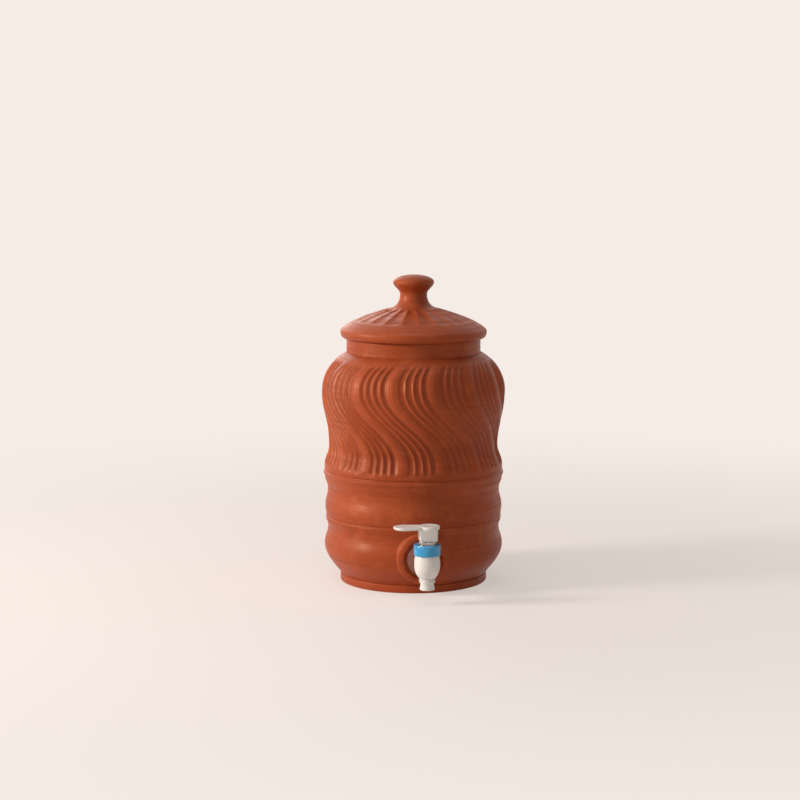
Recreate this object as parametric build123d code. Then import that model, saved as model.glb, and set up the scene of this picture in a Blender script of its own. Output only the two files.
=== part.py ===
from build123d import *
import math
import os

# A clay water pot with a lift-off lid and a sprung lever tap.
# Millimetres, +Z up, origin at the centre of the foot on the floor, tap towards -Y, lever towards -X.

# Pot outline from the foot up: each crest or hollow stands out or in from the last, and rises above it.
lower_bulge_radius = 97.5
foot_tuck = 17.2
foot_height = 8.5
foot_chamfer = 1.2
lower_bulge_rise = 32.0
lower_hollow_depth = 3.9
lower_hollow_rise = 20.5
middle_bulge_swell = 3.2
middle_bulge_rise = 21.0
middle_hollow_depth = 3.0
middle_hollow_rise = 20.0
ridge_swell = 4.1
ridge_rise = 17.5
flare_tuck = 0.5
flare_rise = 7.0
waist_tuck = 5.5
waist_rise = 23.5
belly_swell = 7.6
belly_rise = 58.0
neck_tuck = 26.6
shoulder_rise = 43.0
neck_rise = 17.0

# Clay thickness and the grooves turned in the pot.
wall = 6.5
floor_thickness = 9.0
rim_round = 2.0
groove_width = 2.6
groove_depth = 1.0
groove_drop = 9.0
groove_step = 0.9

# Raised ring that the tap is seated in.
boss_radius = 27.4
boss_band = 6.6
boss_rise = 4.0
boss_tuck = 2.0
boss_round = 1.4
seat_recess = 2.0
pad_rise = 3.0

# Lid: a dome with a rolled brim, a skirt inside the mouth and a turned knob.
brim_overhang = 7.4
brim_height = 8.5
lip_drop = 0.8
lip_gap = 2.6
lip_width = 1.8
skirt_depth = 10.0
skirt_wall = 5.0
skirt_clearance = 1.5
lid_wall = 8.0
dome_rise = 23.0
knob_base_radius = 23.0
knob_waist_radius = 14.7
knob_waist_rise = 14.5
knob_radius = 22.3
knob_rise = 13.0
knob_crown = 8.0
flute_count = 20
flute_depth = 0.9
flute_clear = 2.5

# Tap body, heights from the mouth of its spout.
spout_drop = 24.0
spout_radius = 7.8
spout_throat_radius = 7.15
spout_lip = 1.6
spout_taper = 2.7
spout_length = 7.8
rib_radius = 8.4
rib_width = 1.6
rib_gap = 0.8
rib_count = 2
bulb_root_radius = 8.6
bulb_radius = 13.6
bulb_swell = 12.9
bulb_upper = 11.2
bulb_top_radius = 12.1
thread_radius = 11.7
thread_length = 5.3
spout_bore = 4.5
seat_lip_height = 1.0
seat_lip_width = 1.2
chamber_radius = 9.9
well_radius = 7.6
well_drop = 9.0
inlet_bore = 4.5
tap_reach = 32.5
tap_neck_radius = 8.4
flange_radius = 9.8
flange_thickness = 3.0
shank_radius = 7.5
shank_spare = 4.5
shank_clearance = 0.7

# Tap seals and fastening.
outer_gasket_radius = 17.2
outer_gasket_thickness = 3.0
inner_gasket_radius = 14.0
inner_gasket_thickness = 2.5
nut_flats = 24.0
nut_sides = 6
nut_thickness = 9.0
nut_flange_thickness = 2.0
bonnet_gasket_thickness = 0.8
bonnet_gasket_width = 1.4
o_ring_section = 1.6
o_ring_sides = 8

# Bonnet, its steel sleeve and the blue collar that clamps it.
bonnet_flange_thickness = 2.5
bonnet_cup_depth = 8.0
bonnet_cup_clearance = 0.3
bonnet_neck = 5.8
sleeve_radius = 9.3
sleeve_wall = 0.6
sleeve_slots = 12
sleeve_slot_width = 1.3
sleeve_slot_show = 1.4
collar_radius = 14.1
collar_lip = 2.5
collar_chamfer = 0.9

# Stem, its seal and its return spring.
stem_radius = 3.0
stem_tip_radius = 1.8
stem_tip_length = 3.0
stem_flange_radius = 5.8
stem_flange_thickness = 1.5
stem_flange_lift = 5.0
stem_over_pin = 3.2
seal_radius = 6.6
seal_thickness = 5.0
seal_nose = 2.5
seal_chamfer = 1.0
spring_radius = 4.9
spring_wire = 0.9
spring_turns = 5
spring_stops_per_turn = 2
spring_wire_sides = 6

# Lever: a cam block on the pin, a paddle and a round head with a snap-in cap.
pin_radius = 1.25
pin_height = 5.4
pin_inset = 0.4
block_heel = 9.2
block_back = 10.5
block_taper = 0.5
block_width = 18.0
block_height = 12.2
block_round = 2.2
heel_round = 2.3
slot_length = 11.6
slot_roof = 1.4
paddle_reach = 35.2
paddle_tip_radius = 10.5
paddle_root_radius = 7.8
paddle_thickness = 3.3
paddle_round = 1.2
dish_radius = 60.0
dish_depth = 0.5
head_radius = 11.3
head_offset = 1.9
head_thickness = 3.7
cap_radius = 9.0
cap_thickness = 1.4
cap_dish_depth = 0.4

# Fits and the overrun of every cut.
running = 0.05
slack = 0.3
thread_fit = 0.15
overrun = 5.0

# Shapes of the free curves, as shares of the span from their first point to their last.
sway_shares = ((0.0, 0.45), (1.0, 0.55))
shoulder_shares = ((0.6, 0.17), (1.0, 0.58))
foot_curve_shares = ((0.0, 0.375), (0.55, 0.67))
inner_foot_shares = ((0.0, 0.5), (0.35, 1.0))
dome_shares = ((0.35, 0.22), (0.78, 0.55))
knob_flare_shares = ((0.75, 0.2), (1.0, 0.6))
knob_swell_shares = ((0.0, 0.4), (1.0, 0.6))
knob_crown_shares = ((0.0, 0.6), (0.45, 1.0))
egg_lower_shares = ((0.42, 0.16), (1.0, 0.58))
egg_upper_shares = ((0.0, 0.5), (0.5, 0.8))
brim_belly_share = 0.65
arc_middle_share = math.sqrt(0.5)
vault_shares = ((0.15, 0.55), (0.5, 1.0))
flute_place_shares = (0.04, 0.32, 0.6)
flute_fill_share = 0.86

# Radii of the pot's outline, and its heights from the floor up.
foot_radius = lower_bulge_radius - foot_tuck
lower_hollow_radius = lower_bulge_radius - lower_hollow_depth
middle_bulge_radius = lower_hollow_radius + middle_bulge_swell
middle_hollow_radius = middle_bulge_radius - middle_hollow_depth
ridge_radius = middle_hollow_radius + ridge_swell
flare_radius = ridge_radius - flare_tuck
waist_radius = flare_radius - waist_tuck
belly_radius = waist_radius + belly_swell
neck_radius = belly_radius - neck_tuck
brim_radius = neck_radius + brim_overhang
lower_bulge_z = foot_height + lower_bulge_rise
lower_hollow_z = lower_bulge_z + lower_hollow_rise
middle_bulge_z = lower_hollow_z + middle_bulge_rise
middle_hollow_z = middle_bulge_z + middle_hollow_rise
ridge_z = middle_hollow_z + ridge_rise
flare_z = ridge_z + flare_rise
waist_z = flare_z + waist_rise
belly_z = waist_z + belly_rise
crease_z = belly_z + shoulder_rise
rim_z = crease_z + neck_rise
mouth_radius = neck_radius - wall
lower_inner_radius = min(lower_hollow_radius, middle_hollow_radius) - wall
foot_crease_radius = foot_radius - foot_chamfer

# Places along the tap's shank, measured outwards from the pot's axis.
boss_z = lower_bulge_z
seat_y = lower_bulge_radius - seat_recess
pad_y = lower_inner_radius - pad_rise
flange_back_y = seat_y + outer_gasket_thickness
flange_front_y = flange_back_y + flange_thickness
tap_y = flange_front_y + tap_reach
nut_face_y = pad_y - inner_gasket_thickness
nut_back_y = nut_face_y - nut_thickness
shank_end_y = nut_back_y - shank_spare

# Heights of the tap.
spout_z = boss_z - spout_drop
bulb_root_z = spout_z + spout_length + rib_count * (rib_width + rib_gap)
bulb_z = bulb_root_z + bulb_swell
thread_z = bulb_z + bulb_upper
body_top_z = thread_z + thread_length
well_floor_z = boss_z - well_drop
seat_z = well_floor_z + seat_lip_height
bonnet_base_z = body_top_z + bonnet_gasket_thickness
bonnet_cup_z = bonnet_base_z - bonnet_cup_depth
bonnet_shelf_z = bonnet_base_z + bonnet_flange_thickness
cam_z = bonnet_shelf_z + bonnet_neck + sleeve_wall + running
collar_base_z = thread_z + running
collar_top_z = bonnet_shelf_z + collar_lip
pin_z = cam_z + pin_height
block_top_z = cam_z + block_height
stem_shoulder_z = seat_z + seal_thickness
stem_flange_z = stem_shoulder_z + stem_flange_lift
spring_foot_z = stem_flange_z + stem_flange_thickness
guide_radius = stem_radius + running
bonnet_cup_radius = chamber_radius - bonnet_cup_clearance
spring_pocket_radius = spring_radius + spring_wire


def bowed(start, end, shares):
    """A free curve from start to end, with its two handles at shares of the span between them."""
    span = (end[0] - start[0], end[1] - start[1])
    handles = [(start[0] + span[0] * r, start[1] + span[1] * z) for r, z in shares]
    return Bezier(start, handles[0], handles[1], end)


def turned(edges):
    """The solid that a closed outline in the XZ plane sweeps round the Z axis."""
    outline = Wire(edges)
    face = Face(Wire([Plane.XZ.from_local_coords(edge) for edge in outline.edges()]))
    return revolve(face, Axis.Z)


def chain(points):
    """Straight edges through points in order, leaving out steps of no length."""
    pairs = zip(points[:-1], points[1:])
    return [Line(a, b) for a, b in pairs if math.dist(a, b) > 0]


def ring(outer, inner, base, top):
    """A plain ring or, with no inner radius, a disc about Z."""
    if inner == 0:
        return turned(chain([(0, base), (outer, base), (outer, top), (0, top), (0, base)]))
    return turned(chain([(inner, base), (outer, base), (outer, top), (inner, top), (inner, base)]))


def at_tap(shape):
    """Moves a shape made round Z onto the tap's upright axis."""
    return Pos(0, -tap_y, 0) * shape


def along_shank(radius, near, far):
    """A cylinder on the shank's axis, between two distances out from the pot's axis."""
    return Pos(0, -near, boss_z) * Rot(90, 0, 0) * extrude(Circle(radius), far - near)


def across_lever(radius, length):
    """A cylinder on the lever's pin axis, along Y."""
    return Pos(0, length / 2, pin_z) * Rot(90, 0, 0) * extrude(Circle(radius), length)


def pot_outline():
    """The pot's outer outline from the middle of its base to its neck, and its hollow back down."""
    groove_half = groove_width / 2
    upper_groove_z = (flare_z + ridge_z) / 2
    lower_groove_z = middle_bulge_z - groove_drop
    lower_groove_radius = middle_bulge_radius - groove_step
    upper_groove_floor = flare_radius - groove_depth
    foot_top = foot_height - foot_chamfer
    rim_bend = rim_round * (1 - arc_middle_share)
    outer = chain([(0, 0), (foot_crease_radius, 0), (foot_radius, foot_chamfer), (foot_radius, foot_top),
                   (foot_crease_radius, foot_height)])
    outer += [
        bowed((lower_bulge_radius, lower_bulge_z), (foot_crease_radius, foot_height), foot_curve_shares),
        bowed((lower_bulge_radius, lower_bulge_z), (lower_hollow_radius, lower_hollow_z), sway_shares),
        bowed((lower_hollow_radius, lower_hollow_z), (lower_groove_radius, lower_groove_z - groove_half),
              sway_shares),
        ThreePointArc((lower_groove_radius, lower_groove_z - groove_half),
                      (lower_groove_radius - groove_depth, lower_groove_z),
                      (lower_groove_radius, lower_groove_z + groove_half)),
        bowed((lower_groove_radius, lower_groove_z + groove_half), (middle_bulge_radius, middle_bulge_z),
              sway_shares),
        bowed((middle_bulge_radius, middle_bulge_z), (middle_hollow_radius, middle_hollow_z), sway_shares),
        bowed((middle_hollow_radius, middle_hollow_z), (ridge_radius, ridge_z), sway_shares),
    ]
    outer += chain([(ridge_radius, ridge_z), (ridge_radius, upper_groove_z - groove_half)])
    outer += [
        ThreePointArc((ridge_radius, upper_groove_z - groove_half), (upper_groove_floor, upper_groove_z),
                      (flare_radius, upper_groove_z + groove_half)),
    ]
    outer += chain([(flare_radius, upper_groove_z + groove_half), (flare_radius, flare_z)])
    outer += [
        bowed((flare_radius, flare_z), (waist_radius, waist_z), sway_shares),
        bowed((waist_radius, waist_z), (belly_radius, belly_z), sway_shares),
        bowed((neck_radius, crease_z), (belly_radius, belly_z), shoulder_shares),
        Line((neck_radius, crease_z), (neck_radius, rim_z - rim_round)),
        ThreePointArc((neck_radius, rim_z - rim_round), (neck_radius - rim_bend, rim_z - rim_bend),
                      (neck_radius - rim_round, rim_z)),
        Line((neck_radius - rim_round, rim_z), (mouth_radius + rim_round, rim_z)),
        ThreePointArc((mouth_radius + rim_round, rim_z), (mouth_radius + rim_bend, rim_z - rim_bend),
                      (mouth_radius, rim_z - rim_round)),
    ]
    floor_radius = foot_crease_radius - 2 * wall
    inner = [
        Line((mouth_radius, rim_z - rim_round), (mouth_radius, crease_z)),
        bowed((mouth_radius, crease_z), (belly_radius - wall, belly_z), shoulder_shares),
        bowed((belly_radius - wall, belly_z), (waist_radius - wall, waist_z), sway_shares),
        bowed((waist_radius - wall, waist_z), (lower_inner_radius, middle_hollow_z), sway_shares),
        Line((lower_inner_radius, middle_hollow_z), (lower_inner_radius, lower_hollow_z)),
        bowed((lower_inner_radius, lower_hollow_z), (floor_radius, floor_thickness), inner_foot_shares),
        Line((floor_radius, floor_thickness), (0, floor_thickness)),
        Line((0, floor_thickness), (0, 0)),
    ]
    return outer + inner


def boss_skin():
    """The swelling that the raised ring round the tap is cut from, as a solid round the pot's axis."""
    top_z = boss_z + boss_radius
    low_z = boss_z - boss_radius
    top = (lower_hollow_radius + boss_rise, top_z)
    low = (lower_bulge_radius - boss_tuck, low_z)
    front = ThreePointArc(low, (lower_bulge_radius + boss_rise, boss_z), top)
    return turned([front] + chain([top, (0, top_z), (0, low_z), low]))


def make_pot_body():
    """The fired pot: wall, foot, neck, and a ringed seat with a hole for the tap."""
    ring_blank = along_shank(boss_radius, lower_inner_radius, lower_bulge_radius + boss_rise + overrun)
    boss = ring_blank & boss_skin()
    face_edges = [edge for edge in boss.edges() if edge.center().Y < -seat_y + seat_recess]
    boss = fillet(face_edges, boss_round)
    seat = along_shank(boss_radius - boss_band, seat_y, tap_y)
    spot_face = along_shank(inner_gasket_radius + slack, shank_end_y, pad_y)
    pad = along_shank(inner_gasket_radius + pad_rise, pad_y, seat_y)
    hole = along_shank(shank_radius + shank_clearance, shank_end_y, tap_y)
    return turned(pot_outline()) + boss + pad - seat - spot_face - hole


def lid_heights():
    """Heights of the brim's top, the knob's base, its waist and its widest turn."""
    brim_top_z = rim_z + brim_height
    knob_base_z = brim_top_z + dome_rise
    knob_waist_z = knob_base_z + knob_waist_rise
    return brim_top_z, knob_base_z, knob_waist_z, knob_waist_z + knob_rise


def dome_curve():
    """The outline of the lid's dome, from the knob out to the brim."""
    brim_top_z, knob_base_z, _, _ = lid_heights()
    return bowed((knob_base_radius, knob_base_z), (brim_radius - lip_width, brim_top_z), dome_shares)


def lid_outline():
    """The lid's outline: knob, dome and brim outside, then lip, seat, skirt and vault beneath."""
    brim_top_z, knob_base_z, knob_waist_z, knob_z = lid_heights()
    knob_top_z = knob_z + knob_crown
    lip_z = rim_z - lip_drop
    lip_inner = neck_radius + lip_gap
    skirt_radius = mouth_radius - skirt_clearance
    skirt_z = rim_z - skirt_depth
    vault_radius = skirt_radius - skirt_wall
    vault_top_z = knob_base_z - lid_wall
    brim_middle = (brim_radius, lip_z + (brim_top_z - lip_z) * brim_belly_share)
    return [
        bowed((knob_radius, knob_z), (0, knob_top_z), knob_crown_shares),
        bowed((knob_waist_radius, knob_waist_z), (knob_radius, knob_z), knob_swell_shares),
        bowed((knob_base_radius, knob_base_z), (knob_waist_radius, knob_waist_z), knob_flare_shares),
        dome_curve(),
        ThreePointArc((brim_radius - lip_width, brim_top_z), brim_middle, (lip_inner + lip_width, lip_z)),
        *chain([(lip_inner + lip_width, lip_z), (lip_inner, lip_z), (lip_inner, rim_z),
                (skirt_radius, rim_z), (skirt_radius, skirt_z), (vault_radius, skirt_z),
                (vault_radius, brim_top_z)]),
        bowed((vault_radius, brim_top_z), (0, vault_top_z), vault_shares),
        Line((0, vault_top_z), (0, knob_top_z)),
    ]


def flute_section(share):
    """The cross section of one petal's scoop, where the dome's outline has run this share of its length."""
    dome = dome_curve()
    place = dome.position_at(share)
    run = dome.tangent_at(share)
    plane = Plane(origin=(place.X, 0, place.Y), x_dir=(0, 1, 0), z_dir=(run.X, 0, run.Y))
    half = math.pi * place.X / flute_count * flute_fill_share
    scoop = ThreePointArc((-half, 0), (0, -flute_depth), (half, 0))
    roof = chain([(half, 0), (half, flute_clear), (-half, flute_clear), (-half, 0)])
    return plane * make_face([scoop] + roof)


def make_lid():
    """The fired lid, with petals scooped from the dome round its knob."""
    scoop = loft([flute_section(share) for share in flute_place_shares], ruled=True)
    return turned(lid_outline()) - PolarLocations(0, flute_count, start_angle=180 / flute_count) * scoop


def tap_outline():
    """The outside of the spout, its ribs, the egg-shaped bulb and the threaded neck above it."""
    throat_z = spout_z + spout_lip + spout_taper
    edges = chain([(0, spout_z), (spout_radius, spout_z), (spout_radius, spout_z + spout_lip),
                   (spout_throat_radius, throat_z), (spout_throat_radius, spout_z + spout_length)])
    for rib in range(rib_count):
        low = spout_z + spout_length + rib * (rib_width + rib_gap)
        high = low + rib_width
        edges += chain([(spout_throat_radius, low), (rib_radius, low), (rib_radius, high),
                        (spout_throat_radius, high), (spout_throat_radius, high + rib_gap)])
    edges += chain([(spout_throat_radius, bulb_root_z), (bulb_root_radius, bulb_root_z)])
    edges += [
        bowed((bulb_root_radius, bulb_root_z), (bulb_radius, bulb_z), egg_lower_shares),
        bowed((bulb_radius, bulb_z), (bulb_top_radius, thread_z), egg_upper_shares),
    ]
    edges += chain([(bulb_top_radius, thread_z), (thread_radius, thread_z), (thread_radius, body_top_z),
                    (0, body_top_z), (0, spout_z)])
    return edges


def make_tap_body():
    """Spout, bulb, neck, wall flange and shank in one moulding, with its valve well, chamber and bores."""
    bulb = at_tap(turned(tap_outline()))
    neck = along_shank(tap_neck_radius, flange_back_y, tap_y)
    flange = along_shank(flange_radius, flange_back_y, flange_front_y)
    shank = along_shank(shank_radius, shank_end_y, flange_back_y)
    chamber_z = bonnet_cup_z - slack
    chamber = ring(well_radius, spout_bore + seat_lip_width, well_floor_z, seat_z)
    chamber += ring(well_radius, 0, seat_z, chamber_z)
    chamber += ring(chamber_radius, 0, chamber_z, body_top_z + overrun)
    bore = ring(spout_bore, 0, spout_z - overrun, seat_z)
    inlet = along_shank(inlet_bore, shank_end_y - overrun, tap_y)
    return bulb + neck + flange + shank - at_tap(chamber) - at_tap(bore) - inlet


def make_collar_nut():
    """The coloured nut that screws over the tap's neck and clamps the bonnet with its lip."""
    shell = ring(collar_radius, 0, collar_base_z, collar_top_z)
    shell = chamfer(shell.edges().filter_by(GeomType.CIRCLE), collar_chamfer)
    shell -= ring(thread_radius + thread_fit, 0, collar_base_z - overrun, bonnet_shelf_z)
    shell -= ring(sleeve_radius + thread_fit, 0, bonnet_shelf_z - overrun, collar_top_z + overrun)
    return at_tap(shell)


def make_bonnet():
    """The stem's guide: a spring cup below, a clamped flange, and a neck with a groove for its O-ring."""
    neck_top_z = bonnet_shelf_z + bonnet_neck
    pocket_z = bonnet_base_z + running
    shape = ring(bonnet_cup_radius, 0, bonnet_cup_z, bonnet_base_z)
    shape += ring(thread_radius, 0, bonnet_base_z, bonnet_shelf_z)
    shape += ring(sleeve_radius - sleeve_wall - running, 0, bonnet_shelf_z, neck_top_z)
    shape -= ring(spring_pocket_radius, 0, bonnet_cup_z - overrun, pocket_z)
    shape -= ring(guide_radius, 0, bonnet_cup_z, neck_top_z + overrun)
    groove_low = o_ring_z() - o_ring_section / 2 - running
    groove_high = o_ring_z() + o_ring_section / 2 + running
    shape -= ring(guide_radius + o_ring_section + running, 0, groove_low, groove_high)
    return at_tap(shape)


def o_ring_z():
    """Height of the O-ring, half way up the bonnet's guide."""
    return (bonnet_base_z + bonnet_shelf_z + bonnet_neck) / 2


def make_bonnet_sleeve():
    """The pressed steel cup over the bonnet's neck, slotted at its foot, that the lever's cam runs on."""
    shell = ring(sleeve_radius, 0, bonnet_shelf_z, cam_z)
    shell -= ring(sleeve_radius - sleeve_wall, 0, bonnet_shelf_z - overrun, cam_z - sleeve_wall)
    shell -= ring(guide_radius + slack, 0, bonnet_shelf_z, cam_z + overrun)
    slot_top = collar_top_z + sleeve_slot_show
    slot_height = slot_top - bonnet_shelf_z + overrun
    cutter = Box(sleeve_radius, sleeve_slot_width, slot_height)
    slot = Pos(sleeve_radius, 0, slot_top - slot_height / 2) * cutter
    return at_tap(shell - PolarLocations(0, sleeve_slots) * slot)


def make_stem():
    """The plunger: a tip in the seal, a flange under the spring, and a top drilled for the pin."""
    tip_z = stem_shoulder_z - stem_tip_length
    top_z = pin_z + stem_over_pin
    shape = ring(stem_tip_radius, 0, tip_z, stem_shoulder_z)
    shape += ring(stem_radius, 0, stem_shoulder_z, top_z)
    shape += ring(stem_flange_radius, 0, stem_flange_z, spring_foot_z)
    return at_tap(shape - across_lever(pin_radius, block_width))


def make_valve_seal():
    """The soft plug on the stem's tip: a flat that closes the seat, and a nose that centres in the bore."""
    tip_z = stem_shoulder_z - stem_tip_length
    nose_radius = spout_bore - slack
    shape = ring(seal_radius, 0, seat_z, stem_shoulder_z)
    shape = chamfer(shape.edges().sort_by(Axis.Z)[-1], seal_chamfer)
    shape += turned(chain([(0, seat_z), (nose_radius, seat_z), (stem_tip_radius, seat_z - seal_nose),
                           (0, seat_z - seal_nose), (0, seat_z)]))
    return at_tap(shape - ring(stem_tip_radius + running, 0, tip_z - running, stem_shoulder_z + overrun))


def helix_point(turn, low, high):
    """A point of the spring's centre line and its direction there, after this many turns from its foot."""
    angle = math.tau * turn
    climb = (high - low) / spring_turns
    place = Vector(spring_radius * math.cos(angle), spring_radius * math.sin(angle), low + climb * turn)
    sweep_rate = math.tau * spring_radius
    run = Vector(-sweep_rate * math.sin(angle), sweep_rate * math.cos(angle), climb)
    return place, run.normalized()


def biarc(start, start_run, end, end_run):
    """Two arcs that leave start along its direction, meet smoothly, and reach end along its direction."""
    span = end - start
    runs = start_run + end_run
    square = 2 - 2 * start_run.dot(end_run)
    reach = (math.sqrt(span.dot(runs) ** 2 + square * span.dot(span)) - span.dot(runs)) / square
    knee = start + start_run * reach
    heel = end - end_run * reach
    middle = (knee + heel) / 2
    return [TangentArc(start, middle, tangent=start_run), TangentArc(middle, end, tangent=heel - knee)]


def make_return_spring():
    """The coil between the stem's flange and the bonnet, swept along arcs of half a turn."""
    margin = spring_wire / 2 + running
    low = spring_foot_z + margin
    high = bonnet_base_z - margin
    steps = spring_turns * spring_stops_per_turn
    stops = [helix_point(step / spring_stops_per_turn, low, high) for step in range(steps + 1)]
    path = []
    for (start, start_run), (end, end_run) in zip(stops[:-1], stops[1:]):
        path += biarc(start, start_run, end, end_run)
    wire_end = Plane(origin=stops[0][0], z_dir=stops[0][1])
    section = wire_end * RegularPolygon(spring_wire / 2, spring_wire_sides)
    return at_tap(sweep(section, path=Wire(path)))


def make_stem_o_ring():
    """The O-ring that wipes the stem in the bonnet's groove."""
    tube = o_ring_section / 2
    centre = guide_radius + tube
    turns = [math.tau * side / o_ring_sides for side in range(o_ring_sides)]
    points = [(centre + tube * math.cos(turn), o_ring_z() + tube * math.sin(turn)) for turn in turns]
    return at_tap(turned(chain(points + points[:1])))


def lever_block():
    """The cam block: tapered ends, rounded uprights and a rounded heel that rolls on the sleeve."""
    heel = block_heel - block_taper
    back = block_back - block_taper
    bend = heel_round * (1 - arc_middle_share)
    profile = chain([(-heel, cam_z + heel_round), (-block_heel, block_top_z), (block_back, block_top_z),
                     (back, cam_z), (heel_round - heel, cam_z)])
    profile += [
        ThreePointArc((heel_round - heel, cam_z), (bend - heel, cam_z + bend), (-heel, cam_z + heel_round)),
    ]
    block = extrude(Plane.XZ * make_face(profile), block_width / 2, both=True)
    uprights = [edge for edge in block.edges() if edge.bounding_box().size.Z > block_height / 2]
    return fillet(uprights, block_round)


def lever_paddle():
    """The paddle that is pressed: a blade that widens to a round tip, dished for a fingertip."""
    tip_x = paddle_tip_radius - paddle_reach
    plan = Pos(tip_x, 0) * Circle(paddle_tip_radius) + Circle(paddle_root_radius)
    blade = Pos(0, 0, block_top_z) * extrude(make_hull(plan.edges()), paddle_thickness)
    rims = blade.edges().group_by(Axis.Z)
    blade = fillet(rims[0] + rims[-1], paddle_round)
    dish_z = block_top_z + paddle_thickness - dish_depth + dish_radius
    return blade - Pos(tip_x, 0, dish_z) * Sphere(dish_radius)


def lever_head():
    """The round head over the block."""
    head = Pos(head_offset, 0, block_top_z) * extrude(Circle(head_radius), head_thickness)
    return fillet(head.edges().filter_by(GeomType.CIRCLE), paddle_round)


def make_lever():
    """Block, paddle and head in one moulding, with the stem's slot, a pin bore and the cap's seat."""
    cap_z = block_top_z + head_thickness - cap_thickness
    cap_seat = Pos(head_offset, 0, cap_z) * extrude(Circle(cap_radius + running), cap_thickness + overrun)
    slot_height = block_height - slot_roof + overrun
    slot_z = block_top_z - slot_roof - slot_height / 2
    slot = Pos(0, 0, slot_z) * Box(slot_length, 2 * (stem_radius + slack), slot_height)
    bore = across_lever(pin_radius + running, block_width + overrun)
    return at_tap(lever_block() + lever_paddle() + lever_head() - cap_seat - slot - bore)


def make_lever_cap():
    """The dished disc that snaps into the lever's head."""
    base_z = block_top_z + head_thickness - cap_thickness
    disc = Pos(head_offset, 0, base_z) * extrude(Circle(cap_radius), cap_thickness)
    dish_z = base_z + cap_thickness - cap_dish_depth + dish_radius
    return at_tap(disc - Pos(head_offset, 0, dish_z) * Sphere(dish_radius))


def make_hinge_pin():
    """The pin through the stem's top that the lever rocks on."""
    return at_tap(across_lever(pin_radius, block_width - 2 * pin_inset))


def make_lock_nut():
    """The flanged hexagon nut on the shank inside the pot."""
    hexagon = RegularPolygon(nut_flats / 2, nut_sides, major_radius=False)
    flats = Pos(0, -nut_back_y, boss_z) * Rot(90, 0, 0) * extrude(hexagon, nut_thickness)
    flange = along_shank(inner_gasket_radius, nut_face_y - nut_flange_thickness, nut_face_y)
    return flats + flange - along_shank(shank_radius + running, shank_end_y, tap_y)


def shank_washer(radius, near, far):
    """A flat washer on the shank, between two distances out from the pot's axis."""
    return along_shank(radius, near, far) - along_shank(shank_radius + running, shank_end_y, tap_y)


bonnet_gasket_inner = thread_radius - bonnet_gasket_width
os.makedirs("parts", exist_ok=True)
pieces = {
    "pot_body": make_pot_body(),
    "lid": make_lid(),
    "tap_body": make_tap_body(),
    "collar_nut": make_collar_nut(),
    "bonnet": make_bonnet(),
    "bonnet_sleeve": make_bonnet_sleeve(),
    "bonnet_gasket": at_tap(ring(thread_radius, bonnet_gasket_inner, body_top_z, bonnet_base_z)),
    "stem": make_stem(),
    "stem_o_ring": make_stem_o_ring(),
    "valve_seal": make_valve_seal(),
    "return_spring": make_return_spring(),
    "lever": make_lever(),
    "lever_cap": make_lever_cap(),
    "hinge_pin": make_hinge_pin(),
    "outer_gasket": shank_washer(outer_gasket_radius, seat_y, flange_back_y),
    "inner_gasket": shank_washer(inner_gasket_radius, nut_face_y, pad_y),
    "lock_nut": make_lock_nut(),
}
for name, shape in pieces.items():
    export_step(shape, f"parts/{name}.step")
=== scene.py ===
"""A clay water pot: the carved wall, the petalled lid and the lever tap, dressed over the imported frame."""
from __future__ import annotations

import logging
import math
from dataclasses import dataclass, field
from enum import Enum, IntEnum
from functools import cached_property
from typing import Callable, Sequence

import bmesh
import bpy
from mathutils import Color, Matrix, Vector
from mathutils.geometry import interpolate_bezier

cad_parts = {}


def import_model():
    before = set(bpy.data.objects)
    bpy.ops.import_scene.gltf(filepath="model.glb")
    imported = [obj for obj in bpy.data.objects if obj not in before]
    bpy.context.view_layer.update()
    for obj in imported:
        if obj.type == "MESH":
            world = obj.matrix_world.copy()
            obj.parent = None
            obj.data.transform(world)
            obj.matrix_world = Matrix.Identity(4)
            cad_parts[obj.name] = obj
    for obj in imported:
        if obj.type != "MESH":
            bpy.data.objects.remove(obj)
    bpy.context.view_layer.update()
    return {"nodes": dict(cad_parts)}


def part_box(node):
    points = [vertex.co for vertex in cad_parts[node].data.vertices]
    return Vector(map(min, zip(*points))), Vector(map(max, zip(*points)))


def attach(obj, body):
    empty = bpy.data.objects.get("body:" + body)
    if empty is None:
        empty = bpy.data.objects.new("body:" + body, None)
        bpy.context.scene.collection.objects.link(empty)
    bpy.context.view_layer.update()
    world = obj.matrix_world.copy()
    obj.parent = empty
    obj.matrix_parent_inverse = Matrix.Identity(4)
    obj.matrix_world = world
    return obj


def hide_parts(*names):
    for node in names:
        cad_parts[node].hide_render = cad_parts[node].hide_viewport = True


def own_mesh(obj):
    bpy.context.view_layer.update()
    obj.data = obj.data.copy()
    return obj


LOG = logging.getLogger("clay_pot")
MM = 0.001

# How near, in millimetres, points merge, edges lie on a level and faces lie on one.
MERGE = 1e-3
NEAR = 1e-4
SKIN = 0.01

# What more than one piece shares: sizes in millimetres from the foot and the pot's axis, and fineness.
RIM = 268.0
SKIRT_FOOT = 258.0
TAP_REACH = 134.0
TAP_HEIGHT = 40.5
TAP_STEPS = 96
BEVEL_STEPS = 5
ROUND_PROFILE = 0.5

# Edges sharper than this many degrees stay sharp.
CREASE = 38.0
CLAY_CREASE = 50.0
STEEL_CREASE = 30.0

Point = tuple[float, float]
Triple = tuple[float, float, float]
Line = tuple[Point, ...]
Corners = tuple[Triple, ...]
Shares = tuple[Point, Point]
Colour = tuple[float, float, float, float]
Radius = Callable[[float], float]
Depth = Callable[[float, float], float]
Socket = bpy.types.NodeSocket
Inputs = dict[str | int, Socket | Colour | Triple | float]
Vert = bmesh.types.BMVert
Edge = bmesh.types.BMEdge


class Body(Enum):
    """The bodies of the frame that new pieces ride on."""

    POT = "pot"
    LID = "lid"
    LEVER = "lever"


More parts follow.
